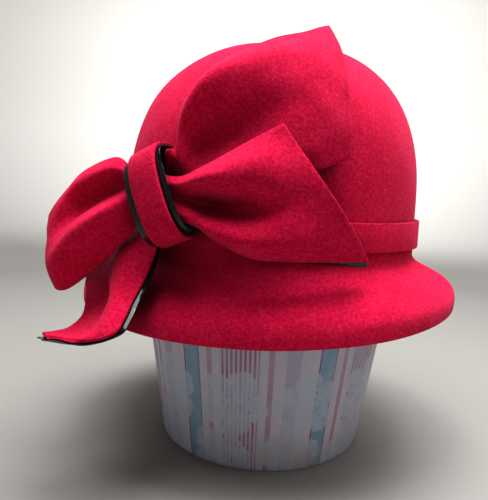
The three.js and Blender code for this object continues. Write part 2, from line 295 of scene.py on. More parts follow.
@dataclass(frozen=True)
class PrintedPaper:
    """Coated paper glued over board: faded stripes under large pale blossoms, a little rubbed and scuffed.

    The stripes repeat round the box. Each blossom has five petals and stands in a cell of its own. Each row
    slips along the one below, and a second set of blossoms lies about half a cell away from the first.
    """

    ground: str = "#b0afc3"
    blossom: str = "#b4bfd0"
    pin: str = "#85456f"
    aged: str = "#b3a088"
    stripes: tuple[tuple[float, str], ...] = (
        (0.0, "#c3bfcc"), (0.07, "#8a5077"), (0.08, "#7a9cba"), (0.2, "#8a5077"), (0.21, "#c5bfcc"),
        (0.27, "#b086a4"), (0.31, "#c6bfcb"), (0.36, "#bfb1c8"), (0.66, "#c4bfcd"),
        (0.71, "#a97fa1"), (0.75, "#c5bfcc"), (0.83, "#a79dc0"), (0.93, "#c3bfcc"),
    )
    repeat_mm: float = 84.0
    turn_mm: float = 30.0
    pin_mm: float = 2.7
    pins_from: float = 0.37
    pins_to: float = 0.65
    cell_mm: float = 47.0
    row_mm: float = 37.0
    foot_mm: float = -30.0
    petals: int = 5
    heart: float = 0.39
    petal_reach: float = 0.17
    raggedness: float = 0.16
    row_slip: float = 0.37
    rub_mm: float = 24.0
    scuff_mm: float = 4.5
    age_mm: float = 34.0
    brush_mm: float = 7.0
    tooth_mm: float = 1.4
    tooth_depth_mm: float = 0.15

    def striped(self, tree: NodeTree, girth: NodeSocket) -> NodeSocket:
        """Lay out the stripes, with a group of pinstripes in each repeat.

        Args:
            tree: The node tree.
            girth: Millimetres round the box.

        Returns:
            The stripes' colour.
        """
        # Ten whole repeats more keep the place above zero all the way round.
        shifted = calc(tree, "ADD", girth, 10 * self.repeat_mm - self.turn_mm)
        band = calc(tree, "FRACT", calc(tree, "DIVIDE", shifted, self.repeat_mm))
        bars = stop_ramp(tree, band, self.stripes, "CONSTANT")
        after = calc(tree, "GREATER_THAN", band, self.pins_from)
        before = calc(tree, "LESS_THAN", band, self.pins_to)
        pins = calc(tree, "FRACT", calc(tree, "DIVIDE", shifted, self.pin_mm))
        among = calc(tree, "MULTIPLY", after, before)
        inked = calc(tree, "MULTIPLY", calc(tree, "LESS_THAN", pins, 0.5), among)
        return blend(tree, calc(tree, "MULTIPLY", inked, 0.85), bars, linear(self.pin))

    def blossoms(
        self, tree: NodeTree, girth: NodeSocket, height: NodeSocket, brushed: NodeSocket, shift: float
    ) -> NodeSocket:
        """Return where a set of blossoms covers the stripes.

        Args:
            tree: The node tree.
            girth: Millimetres round the box.
            height: Millimetres up it.
            brushed: Noise that makes the edges ragged.
            shift: Moves the set by this share of a cell, both ways.

        Returns:
            1 inside a blossom and 0 outside, with a soft edge.
        """
        raised = calc(tree, "SUBTRACT", height, self.foot_mm)
        row = calc(tree, "ADD", calc(tree, "DIVIDE", raised, self.row_mm * 2), shift)
        row_id = calc(tree, "FLOOR", row)
        # Forty whole cells more keep the column above zero all the way round.
        column = calc(tree, "ADD", calc(tree, "DIVIDE", girth, self.cell_mm), 40 + shift * 0.9)
        column = calc(tree, "MULTIPLY_ADD", row_id, self.row_slip, column)
        cell = add_node(tree, "CombineXYZ", {0: calc(tree, "FLOOR", column), 1: row_id, 2: shift}).outputs[0]
        spin = add_node(tree, "TexWhiteNoise", {"Vector": cell}).outputs[0]
        x = calc(tree, "SUBTRACT", calc(tree, "FRACT", column), 0.5)
        tall = self.row_mm * 2 / self.cell_mm
        y = calc(tree, "MULTIPLY", calc(tree, "SUBTRACT", calc(tree, "FRACT", row), 0.5), tall)
        away = calc(tree, "SQRT", calc(tree, "MULTIPLY_ADD", x, x, calc(tree, "MULTIPLY", y, y)))
        ragged = calc(tree, "MULTIPLY_ADD", brushed, self.raggedness, away)
        angle = calc(tree, "MULTIPLY_ADD", spin, 6.28, calc(tree, "ARCTAN2", y, x))
        lobe = calc(tree, "COSINE", calc(tree, "MULTIPLY", angle, self.petals / 2))
        petal = calc(tree, "POWER", calc(tree, "ABSOLUTE", lobe), 0.5)
        reach = calc(tree, "MULTIPLY_ADD", petal, self.petal_reach, self.heart)
        inside = scale_to(tree, calc(tree, "SUBTRACT", reach, ragged), 0.0, 0.03, 0.0, 1.0)
        # The rows stop part of the way up, and the top stays striped.
        return calc(tree, "MULTIPLY", inside, calc(tree, "LESS_THAN", row, 1 + 2 * shift))

    def build(self, radius_mm: float) -> Material:
        """Make the finish.

        Args:
            radius_mm: The box's radius at mid height, which sets how wide a turn is.

        Returns:
            The paper material.
        """
        material, tree = new_material("printed_paper_on_board")
        place = add_node(tree, "TexCoord").outputs["Object"]
        split = add_node(tree, "SeparateXYZ", {0: place})
        forward = calc(tree, "MULTIPLY", split.outputs[1], -1.0)
        girth = calc(tree, "MULTIPLY", calc(tree, "ARCTAN2", split.outputs[0], forward), radius_mm)
        height = calc(tree, "DIVIDE", split.outputs[2], MM)
        stripes = self.striped(tree, girth)
        brushed = noise(tree, place, self.brush_mm, 4.0, 0.65)
        # Two sets of blossoms overlap, so they nearly cover the lower part.
        sets = [self.blossoms(tree, girth, height, brushed, shift) for shift in (0.0, 0.5)]
        flowers = calc(tree, "MAXIMUM", *sets)
        petals = calc(tree, "MULTIPLY", flowers, scale_to(tree, brushed, 0.35, 0.65, 1.0, 0.5))
        # Scuffs: flecks where the pale ink is rubbed off and the stripes come through.
        flecks = scale_to(tree, noise(tree, place, self.scuff_mm, 5.0, 0.7), 0.56, 0.62, 1.0, 0.35)
        covered = calc(tree, "MULTIPLY", petals, flecks)
        printed = blend(tree, covered, stripes, linear(self.blossom))
        # Rubbed patches, mostly pale, and age that has browned the paper near the base.
        worn = scale_to(tree, noise(tree, place, self.rub_mm, 5.0, 0.62), 0.46, 0.66, 0.0, 0.5)
        rubbed = blend(tree, worn, printed, linear(self.ground))
        age = calc(tree, "MULTIPLY", scale_to(tree, height, self.age_mm, 0.0, 0.0, 0.8), worn)
        aged = blend(tree, age, rubbed, linear(self.aged))
        # The paper's tooth is finer than this, and is drawn as coarse as it needs to show.
        tooth = noise(tree, place, self.tooth_mm, 3.0, 0.6)
        depth = self.tooth_depth_mm * MM
        bump = add_node(tree, "Bump", {"Height": tooth, "Strength": 0.2, "Distance": depth})
        inputs = {
            "Base Color": aged,
            "Roughness": scale_to(tree, brushed, 0.3, 0.7, 0.42, 0.6),
            "IOR": 1.47,
            "Normal": bump.outputs[0],
        }
        finish_material(tree, add_node(tree, "BsdfPrincipled", inputs))
        return material


@dataclass(frozen=True)
class PaleBackdrop:
    """Matt seamless paper, graded from a soft grey under the hat to nearly white on the wall."""

    near: str = "#8d8b87"
    far: str = "#f1efeb"
    near_radius: float = 700.0
    far_radius: float = 2300.0

    def build(self) -> Material:
        """Make the finish.

        Returns:
            The backdrop material.
        """
        material, tree = new_material("pale_seamless_paper")
        place = add_node(tree, "TexCoord").outputs["Object"]
        away = add_node(tree, "VectorMath", {0: place}, operation="LENGTH").outputs["Value"]
        share = scale_to(tree, away, self.near_radius * MM, self.far_radius * MM, 0.0, 1.0)
        colour = stop_ramp(tree, share, [(0.0, self.near), (1.0, self.far)])
        shader = add_node(tree, "BsdfPrincipled", {"Base Color": colour, "Roughness": 0.9})
        finish_material(tree, shader)
        return material


# Surfaces as grids of points


def catmull_rom(points: np.ndarray, count: int) -> np.ndarray:
    """Sample a uniform Catmull-Rom curve through points along the first axis.

    Args:
        points: Control points; further axes ride along.
        count: How many steps the curve is divided into.

    Returns:
        count + 1 samples, from the first point to the last.
    """
    first = 2 * points[0] - points[1]
    last = 2 * points[-1] - points[-2]
    padded = np.concatenate([first[None], points, last[None]])
    spans = len(points) - 1
    where = np.linspace(0, spans, count + 1)
    low = np.minimum(where.astype(int), spans - 1)
    t = (where - low).reshape((-1,) + (1,) * (points.ndim - 1))
    p0, p1, p2, p3 = (padded[low + k] for k in range(4))
    v0, v1 = (p2 - p0) / 2, (p3 - p1) / 2
    bend = (-3 * p1 + 3 * p2 - 2 * v0 - v1) * t**2
    return (2 * p1 - 2 * p2 + v0 + v1) * t**3 + bend + v0 * t + p1


def unit(vectors: np.ndarray) -> np.ndarray:
    """Scale vectors on the last axis to length one."""
    return vectors / np.maximum(np.linalg.norm(vectors, axis=-1, keepdims=True), 1e-12)


def ripple(points: np.ndarray, seed: float, wavelength: float, height: float) -> np.ndarray:
    """Give a smooth unevenness over points in space.

    Args:
        points: Points in millimetres.
        seed: Shifts the pattern.
        wavelength: Its length in millimetres.
        height: The largest rise, in millimetres.

    Returns:
        A rise for each point.
    """
    p = points * (2 * math.pi / wavelength) + seed
    x, y, z = p[..., 0], p[..., 1], p[..., 2]
    waves = [
        np.sin(x + 1.7 * np.sin(0.6 * z)),
        np.sin(y * 1.3 + 0.8 * z),
        np.sin(z * 1.1 + 1.3 * np.sin(0.7 * x)),
    ]
    return sum(waves) * height / 3


def smooth_mesh(
    name: str, points: np.ndarray, faces: Sequence[Sequence[int]], material: Material
) -> Object:
    """Make a smooth mesh object and put it in the scene.

    Args:
        name: The object's name.
        points: Points in millimetres.
        faces: Faces as point numbers.
        material: Its finish.

    Returns:
        The object.
    """
    mesh = bpy.data.meshes.new(name)
    mesh.from_pydata((points * MM).tolist(), [], faces)
    mesh.validate()
    mesh.update()
    mesh.polygons.foreach_set("use_smooth", [True] * len(mesh.polygons))
    mesh.materials.append(material)
    piece = bpy.data.objects.new(name, mesh)
    bpy.context.collection.objects.link(piece)
    return piece


@dataclass(frozen=True)
class Piece:
    """A piece of the part: its name, the node that it replaces, and its finish with its material slot."""

    name: str
    node: str
    material: Material
    slot: Slot

    def make(self, points: np.ndarray, faces: Sequence[Sequence[int]], sharp: float) -> Object:
        """Make the piece's mesh.

        Args:
            points: Points in millimetres.
            faces: Faces as point numbers.
            sharp: Edges bent by more than this many degrees stay crisp.

        Returns:
            The object, riding on the root body.
        """
        piece = smooth_mesh(self.name, points, faces, self.material)
        piece.data.set_sharp_from_angle(angle=math.radians(sharp))
        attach(piece, "root")
        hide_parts(self.node)
        log.info("%s: %d faces", self.name, len(piece.data.polygons))
        return piece


def ring_faces(rings: Sequence[int], count: int) -> list[tuple[int, ...]]:
    """Join rings of points in order, each closed on itself.

    Args:
        rings: Ring numbers, in the order in which they are joined.
        count: Points in a ring.

    Returns:
        Four-sided faces.
    """
    faces = []
    for low, high in zip(rings, rings[1:]):
        for i in range(count):
            j = (i + 1) % count
            faces.append((low * count + i, low * count + j, high * count + j, high * count + i))
    return faces


def turned(profile: Sequence[Sequence[float]], steps: int) -> np.ndarray:
    """Turn a profile about the Z axis.

    Args:
        profile: Radius and height of each ring.
        steps: Points in a ring.

    Returns:
        The points, ring by ring.
    """
    a = np.linspace(0, 2 * math.pi, steps, endpoint=False)
    rings = [np.stack([r * np.sin(a), -r * np.cos(a), np.full_like(a, z)], axis=-1) for r, z in profile]
    return np.array(rings).reshape(-1, 3)


def end_fans(count: int, steps: int) -> list[tuple[int, ...]]:
    """Close the first and the last ring of a body, each with a fan to a point of its own.

    Args:
        count: Points in all rings together. The two fans' points come right after them.
        steps: Points in a ring.

    Returns:
        Three-sided faces.
    """
    faces = []
    last = count - steps
    for i in range(steps):
        j = (i + 1) % steps
        faces.append((count, j, i))
        faces.append((count + 1, last + i, last + j))
    return faces


def half_round(edge: np.ndarray, skin: np.ndarray, outward: np.ndarray, bulge: float) -> list[np.ndarray]:
    """Carry a cut edge round from a sheet's first face to its second.

    Args:
        edge: Points of the edge, midway between the faces.
        skin: The same points on the first face.
        outward: Unit vectors that point away from the sheet.
        bulge: How far the edge stands out.

    Returns:
        Rows of points, from the first face to the second.
    """
    return [
        edge + (skin - edge) * math.cos(turn) + outward * bulge * math.sin(turn)
        for turn in np.radians(EDGE_TURNS)
    ]


def rounded_corner(
    corner: np.ndarray, before: np.ndarray, after: np.ndarray, radius: float
) -> list[np.ndarray]:
    """Round one corner of a profile with three points.

    Args:
        corner: The corner itself.
        before: A point on the way in.
        after: A point on the way out.
        radius: How far from the corner the rounding starts.

    Returns:
        The points that take the corner's place.
    """
    start = corner + unit(before - corner) * radius
    end = corner + unit(after - corner) * radius
    middle = (start + end) / 2 * (1 - CORNER_PULL) + corner * CORNER_PULL
    return [start, middle, end]


# The hat's shape


@dataclass(frozen=True)
class CrownShape:
    """The crown's outer face: an oval wall under a full dome that leans a little."""

    half_length: float = 98.0
    half_width: float = 90.0
    side_height: float = 22.5
    dome_height: float = 109.5
    fullness: float = 2.52
    lean: float = 3.0

    def face(self, turn: np.ndarray, rise: np.ndarray) -> tuple[np.ndarray, np.ndarray]:
        """Return points on the crown and their outward normals.

        Args:
            turn: Degrees round from the bow's side.
            rise: Height over the spring line as a share of the dome's height.

        Returns:
            Points and unit normals.
        """
        a = np.radians(turn)
        up = np.clip(rise, 0.0, 0.9999)
        r = (1 - up**self.fullness) ** (1 / self.fullness)
        x = self.half_length * r * np.sin(a) + self.lean * up * up
        y = -self.half_width * r * np.cos(a)
        points = np.stack([x, y, self.side_height + rise * self.dome_height], axis=-1)
        power = r ** (self.fullness - 1)
        steep = up ** (self.fullness - 1) / self.dome_height
        sides = (power * np.sin(a) / self.half_length, -power * np.cos(a) / self.half_width)
        return points, unit(np.stack([*sides, steep], axis=-1))


@dataclass
class FeltHood:
    """Crown and brim, blocked from one hood of felt, with a rolled edge."""

    crown: CrownShape
    level: float
    wall: float = 2.5
    flare_ends: float = 28.5
    flare_sides: float = 24.0
    drop: float = 30.0
    dip: float = 10.0
    lean: float = 4.0
    unevenness: float = 0.5
    steps: int = 192
    brim_rings: int = 42
    side_rings: int = 5
    dome_rings: int = 35
    profile: tuple[tuple[float, float], ...] = (
        (1.0, 1.0), (1.0, 0.86), (0.95, 0.72), (0.78, 0.56),
        (0.48, 0.39), (0.2, 0.23), (0.05, 0.1), (0.0, 0.0),
    )

    def outer_rings(self) -> np.ndarray:
        """Lay out the outer face.

        Returns:
            Its rings, from the brim's edge to close under the apex.
        """
        turns = np.linspace(0, 360, self.steps, endpoint=False)
        a = np.radians(turns)
        drop = self.drop + self.dip * np.cos(a) - self.lean * np.sin(a)
        rows = catmull_rom(np.array(self.profile), self.brim_rings)
        rings = []
        for out, down in rows:
            x = (self.crown.half_length + self.flare_ends * out) * np.sin(a)
            y = -(self.crown.half_width + self.flare_sides * out) * np.cos(a)
            rings.append(np.stack([x, y, -drop * down], axis=-1))
        for share in np.linspace(1 / self.side_rings, 1.0, self.side_rings):
            rise = -self.crown.side_height * (1 - share) / self.crown.dome_height
            rings.append(self.crown.face(turns, np.full_like(turns, rise))[0])
        for angle in np.linspace(0, 90, self.dome_rings + 2)[1:-1]:
            rise = math.sin(math.radians(angle)) ** (2 / self.crown.fullness)
            rings.append(self.crown.face(turns, np.full_like(turns, rise))[0])
        return np.array(rings)

    def build(self, felt: Material) -> Object:
        """Make the hood.

        Args:
            felt: The felt finish.

        Returns:
            The hood's object.
        """
        outer = self.outer_rings()
        apex = np.array([self.crown.lean, 0.0, self.crown.side_height + self.crown.dome_height])
        above = np.concatenate([outer[1:], np.broadcast_to(apex, outer[:1].shape)])
        below = np.concatenate([outer[:1], outer[:-1]])
        along = np.roll(outer, -1, axis=1) - np.roll(outer, 1, axis=1)
        normals = unit(np.cross(along, above - below))
        outer = outer + normals * ripple(outer, 2.0, 70.0, self.unevenness)[..., None]
        inner = outer - normals * self.wall
        outward = unit(outer[0] - outer[1])
        edge = half_round((outer[0] + inner[0]) / 2, outer[0], outward, self.wall / 2)
        rings = np.concatenate([outer[::-1], np.array(edge), inner])
        points = rings.reshape(-1, 3)
        faces = [*ring_faces(range(len(rings)), self.steps), *end_fans(len(points), self.steps)]
        points = np.concatenate([points, [apex, apex - [0, 0, self.wall]]])
        points[:, 2] += self.level
        return Piece("felt_hood_brushed", "felt_hood", felt, Slot.FELT).make(points, faces, 60.0)


@dataclass
class FeltBand:
    """A strip of felt round the foot of the crown, with cut edges gone soft."""

    crown: CrownShape
    level: float
    height: float = 17.0
    thickness: float = 2.5
    clearance: float = 0.3
    softness: float = 0.7
    steps: int = 256

    def build(self, felt: Material) -> Object:
        """Make the band.

        Args:
            felt: The felt finish.

        Returns:
            The band's object.
        """
        low = self.crown.side_height - self.height
        high = self.crown.side_height
        near, far = self.clearance, self.clearance + self.thickness
        corners = [np.array(c) for c in ((near, low), (far, low), (far, high), (near, high))]
        profile: list[np.ndarray] = []
        for k, corner in enumerate(corners):
            profile += rounded_corner(corner, corners[k - 1], corners[(k + 1) % 4], self.softness)
        # The top edge and the outer face each get a row more along their middle. Three points take up
        # each corner, so these two start after the third corner and after the second.
        for k in (9, 6):
            profile.insert(k, (profile[k - 1] + profile[k]) / 2)
        turns = np.linspace(0, 360, self.steps, endpoint=False)
        foot, normal = self.crown.face(turns, np.zeros_like(turns))
        rings = []
        for off, z in profile:
            ring = foot + normal * off
            ring[:, 2] = z
            rings.append(ring)
        points = np.array(rings)
        points[..., :2] += normal[None, :, :2] * ripple(points, 5.0, 40.0, 0.25)[..., None]
        points[..., 2] += self.level + ripple(points, 9.0, 60.0, 0.3)
        faces = ring_faces([*range(len(rings)), 0], self.steps)
        piece = Piece("felt_band_strip", "band", felt, Slot.FELT).make(points.reshape(-1, 3), faces, 60.0)
        return piece


@dataclass
class Knot:
    """The tab round both ribbons: felt over a wider patent strip, standing on the band."""

    crown: CrownShape
    level: float
    turn: float = -27.2
    rise: float = 0.095
    tilt: float = 22.0
    half_height: float = 26.0
    half_depth: float = 14.5
    felt_width: float = 18.0
    lining_width: float = 27.0
    lining_shift: float = -1.0
    felt: float = 2.0
    lining: float = 0.8
    fullness: float = 2.6
    band_proud: float = 2.8
    bulge: float = 0.8
    tuck: float = 2.8
    steps: int = 120
    centre: np.ndarray = field(init=False)
    out: np.ndarray = field(init=False)
    through: np.ndarray = field(init=False)
    up: np.ndarray = field(init=False)

    def __post_init__(self) -> None:
        """Work out the knot's own directions from where it sits on the crown."""
        point, normal = self.crown.face(np.array(self.turn), np.array(self.rise))
        foot, _ = self.crown.face(np.array(self.turn), np.array(0.0))
        self.out = unit(np.array([normal[0], normal[1], 0.0]))
        foot[2] = point[2]
        self.centre = foot + self.out * (self.band_proud + LAYER_GAP + self.half_depth)
        across = np.cross([0.0, 0.0, 1.0], self.out)
        tilt = math.radians(self.tilt)
        self.through = across * math.cos(tilt) + np.cross(self.out, across) * math.sin(tilt)
        self.up = np.cross(self.out, self.through)

    @property
    def wall(self) -> float:
        """Thickness of the knot's two layers with the gap between them."""
        return self.felt + LAYER_GAP + self.lining

    def inside(self, along: float, rise: np.ndarray, out: np.ndarray) -> np.ndarray:
        """Return points by shares of the knot's inside.

        Args:
            along: Share of the lining's width, from the knot's middle.
            rise: Shares of the inner half height.
            out: Shares of the inner half depth.

        Returns:
            The points.
        """
        height = self.half_height - self.wall - LAYER_GAP
        depth = self.half_depth - self.wall - LAYER_GAP
        return (
            self.centre
            + self.through * along * self.lining_width
            + np.outer(rise * height, self.up)
            + np.outer(out * depth, self.out)
        )

    def loop(
        self, piece: Piece, inset: float, thickness: float, width: float,
        shift: float = 0.0, bulge: float = 0.0, tuck: float = 0.0,
    ) -> Object:
        """Make one layer of the knot.

        Args:
            piece: The piece that it is.
            inset: How far its outer face lies under the knot's outside.
            thickness: Its thickness.
            width: Its width along the ribbons.
            shift: How far its middle lies along the ribbons from the knot's own.
            bulge: How far its middle stands above its edges.
            tuck: How far its right edge is drawn in over the top, where the leaves fill the knot.

        Returns:
            The layer's object.
        """
        half = width / 2
        # The edges are rounded by a share of the thickness, and by no more than 0.6 mm.
        soft = min(thickness * 0.4, 0.6)
        outer = [(inset, side) for side in np.linspace(-half + soft, half - soft, 9)]
        inner = [(inset + thickness, side) for side in np.linspace(half - soft, -half + soft, 5)]
        edge_one = [(inset + soft * 0.3, half - soft * 0.3), (inset + thickness / 2, half)]
        edge_two = [(inset + thickness / 2, -half), (inset + soft * 0.3, -half + soft * 0.3)]
        profile = [*outer, *edge_one, *inner, *edge_two]
        a = np.linspace(0, 2 * math.pi, self.steps, endpoint=False)
        power = 2 / self.fullness
        ups = np.sign(np.cos(a)) * np.abs(np.cos(a)) ** power
        outs = np.sign(np.sin(a)) * np.abs(np.sin(a)) ** power
        front, top = np.clip(outs, 0.0, 1.0), np.clip(ups, 0.0, 1.0) ** 3
        rings = []
        for depth, side in profile:
            lift = bulge * (1 - (side / half) ** 2) if depth == inset else 0.0
            drawn = tuck * max(side, 0.0) / half * top
            rings.append(
                self.centre
                + np.outer(side + shift - drawn, self.through)
                + np.outer(ups * (self.half_height - depth), self.up)
                + np.outer(outs * (self.half_depth - depth) + front * lift, self.out)
            )
        points = np.array(rings).reshape(-1, 3)
        points[:, 2] += self.level
        faces = ring_faces([*range(len(rings)), 0], self.steps)
        return piece.make(points, faces, 50.0)

    def build(self, felt: Material, patent: Material) -> list[Object]:
        """Make both layers.

        Args:
            felt: The felt finish.
            patent: The patent leather finish.

        Returns:
            The felt tab and the patent strip under it.
        """
        tab = Piece("knot_tab_felt", "knot_felt", felt, Slot.FELT)
        strip = Piece("knot_strip_patent", "knot_lining", patent, Slot.PATENT)
        under = self.felt + LAYER_GAP
        return [
            self.loop(tab, 0.0, self.felt, self.felt_width, bulge=self.bulge),
            self.loop(strip, under, self.lining, self.lining_width, self.lining_shift, tuck=self.tuck),
        ]


@dataclass(frozen=True)
class OnCrown:
    """A ribbon's section off the knot: both edges by turn and rise, and how far it stands off the crown."""

    turn: float
    rise: float
    turn2: float
    rise2: float
    stands: tuple[float, ...]
    lining: float = 0.0


@dataclass(frozen=True)
class InKnot:
    """A ribbon's section in the knot, by shares of the knot's inside."""

    along: float
    top: float
    low: float
    stands: tuple[float, ...]
    lining: float = 0.0


Section = OnCrown | InKnot


@dataclass
class Ribbon:
    """A felt ribbon with a patent lining, laid through the sections of a table."""

    name: str
    sections: tuple[Section, ...]
    crown: CrownShape
    knot: Knot
    level: float
    stand: float = 30.0
    felt: float = 2.0
    lining: float = 0.8
    margin: float = 3.0
    sag: float = 0.0
    edge_share: float = 0.35
    steps_along: int = 168
    steps_across: int = 48

    def section_points(self, row: Section) -> np.ndarray:
        """Place the points across one section.

        Args:
            row: The section.

        Returns:
            A point for each of its stands.
        """
        t = np.linspace(0, 1, len(row.stands))
        stands = np.array(row.stands)
        if isinstance(row, InKnot):
            return self.knot.inside(row.along, row.top + (row.low - row.top) * t, stands)
        turns = row.turn + (row.turn2 - row.turn) * t
        rises = row.rise + (row.rise2 - row.rise) * t
        points, normals = self.crown.face(turns, rises)
        return points + normals * (stands * self.stand)[:, None]

    def face(self) -> tuple[np.ndarray, np.ndarray, np.ndarray, np.ndarray]:
        """Lay out the ribbon's face.

        Returns:
            A grid of points, and for each its normal and the directions along and across the ribbon.
        """
        across = np.array([catmull_rom(self.section_points(row), self.steps_across) for row in self.sections])
        grid = catmull_rom(across, self.steps_along)
        along = unit(np.gradient(grid, axis=0))
        over = unit(np.gradient(grid, axis=1))
        normals = unit(np.cross(along, over))
        grid = grid + normals * ripple(grid, 1.0, 26.0, 0.3)[..., None]
        return grid, normals, along, over

    @staticmethod
    def shell(
        front: np.ndarray, back: np.ndarray, rounding: float
    ) -> tuple[np.ndarray, list[tuple[int, ...]]]:
        """Close two grids into one solid.

        Args:
            front: The outer grid.
            back: The inner grid, point for point behind it.
            rounding: How far the edge bulges, in millimetres.

        Returns:
            Points and faces.
        """
        rows, wide = front.shape[:2]
        behind = rows * wide
        faces: list[tuple[int, ...]] = []
        for i in range(rows - 1):
            for j in range(wide - 1):
                a = i * wide + j
                faces.append((a, a + wide, a + wide + 1, a + 1))
                faces.append((behind + a, behind + a + 1, behind + a + wide + 1, behind + a + wide))
        border = [
            *range(wide - 1),
            *(i * wide + wide - 1 for i in range(rows - 1)),
            *(behind - 1 - j for j in range(wide - 1)),
            *(i * wide for i in range(rows - 1, 0, -1)),
        ]
        # The cut edge is a soft half round, so it runs on through rings between the two sides.
        middle = (front + back) / 2
        i, j = np.divmod(border, wide)
        edge, skin = middle[i, j], front[i, j]
        outward = unit(edge - middle[np.clip(i, 1, rows - 2), np.clip(j, 1, wide - 2)])
        rings = half_round(edge, skin, outward, rounding)
        count = len(border)
        ids = [np.array(border), *(2 * behind + k * count + np.arange(count) for k in range(len(rings)))]
        ids.append(ids[0] + behind)
        for one, other in zip(ids, ids[1:]):
            ahead, beyond = np.roll(one, -1), np.roll(other, -1)
            faces += [tuple(int(x) for x in four) for four in zip(one, ahead, beyond, other)]
        return np.concatenate([front.reshape(-1, 3), back.reshape(-1, 3), *rings]), faces

    def layer(self, piece: Piece, near: float, far: float, margin: float) -> Object:
        """Make one layer between two depths under the face.

        Args:
            piece: The piece that it is.
            near: Depth of its outer side.
            far: Depth of its inner side.
            margin: How far its second edge and last end may show past the felt.

        Returns:
            The layer's object.
        """
        grid, normals, along, over = self.face()
        shown = np.interp(
            np.linspace(0, len(self.sections) - 1, self.steps_along + 1),
            range(len(self.sections)),
            [row.lining for row in self.sections],
        )
        grid = grid.copy()
        grid[:, -1] += over[:, -1] * (margin * shown)[:, None]
        # Only a lining has a margin, and where it shows it may hang lower than its felt.
        if margin:
            grid[:, -1, 2] -= self.sag * np.sqrt(shown)
        grid[-1] += along[-1] * margin * shown[-1]
        front = grid - normals * near
        back = grid - normals * far
        points, faces = self.shell(front, back, (far - near) * self.edge_share)
        points[:, 2] += self.level
        sheet = piece.make(points, faces, 40.0)
        return sheet

    def build(self, felt: Material, patent: Material) -> list[Object]:
        """Make the felt and its lining.

        Args:
            felt: The felt finish.
            patent: The patent leather finish.

        Returns:
            The felt piece and the lining piece.
        """
        face = Piece(f"{self.name}_felt_face", f"{self.name}_felt", felt, Slot.FELT)
        back = Piece(f"{self.name}_patent_back", f"{self.name}_lining", patent, Slot.PATENT)
        start = self.felt + LAYER_GAP
        return [
            self.layer(face, 0.0, self.felt, 0.0),
            self.layer(back, start, start + self.lining, self.margin),
        ]


TAIL_RIBBON: tuple[Section, ...] = (
    OnCrown(23.8, 0.877, 24.1, 0.306, (0.5, 0.44, 0.4, 0.36, 0.32, 0.3, 0.26)),
    OnCrown(10, 0.83, 18.4, 0.264, (0.46, 0.54, 0.5, 0.46, 0.42, 0.36, 0.26)),
    OnCrown(-4.2, 0.775, 12.4, 0.23, (0.46, 0.64, 0.56, 0.42, 0.4, 0.38, 0.27)),
    OnCrown(-18, 0.672, 3.6, 0.184, (0.5, 0.8, 0.57, 0.27, 0.3, 0.43, 0.3)),
    OnCrown(-23.8, 0.558, -5.1, 0.161, (0.54, 0.8, 0.48, 0.21, 0.28, 0.48, 0.34)),
    OnCrown(-26, 0.428, -14.2, 0.145, (0.57, 0.65, 0.49, 0.3, 0.33, 0.46, 0.37)),
    OnCrown(-25.3, 0.302, -19, 0.135, (0.58, 0.6, 0.55, 0.48, 0.45, 0.46, 0.41)),
    InKnot(0.33, 0.84, -0.1, (0.16, -0.02, -0.18, -0.28, -0.34, -0.35, -0.4)),
    InKnot(-0.09, 0.15, -0.6, (-0.5, -0.54, -0.56, -0.54, -0.54, -0.5, -0.46)),
    InKnot(-0.52, -0.4, -0.9, (-0.3, -0.2, -0.1, -0.02, -0.01, -0.1, -0.2), 0.2),
    OnCrown(-56, -0.11, -30.6, -0.2, (0.44, 0.46, 0.52, 0.64, 0.8, 0.78, 0.6), 0.8),
    OnCrown(-57.5, -0.335, -30, -0.3, (0.94, 0.88, 0.84, 0.88, 1.04, 1.08, 0.88), 1),
    OnCrown(-50.5, -0.45, -29.6, -0.39, (1.12, 1.01, 0.95, 1, 1.24, 1.34, 1.18), 1),
    OnCrown(-47, -0.523, -28.6, -0.455, (1.3, 1.24, 1.22, 1.28, 1.5, 1.58, 1.46), 1),
    OnCrown(-46, -0.573, -28.6, -0.51, (1.58, 1.56, 1.57, 1.64, 1.74, 1.78, 1.68), 1),
    OnCrown(-45.9, -0.58, -33, -0.55, (1.82, 1.82, 1.83, 1.86, 1.9, 1.92, 1.88), 1),
    OnCrown(-45.7, -0.575, -41, -0.564, (2.04, 2.05, 2.06, 2.08, 2.11, 2.12, 2.1), 1),
)

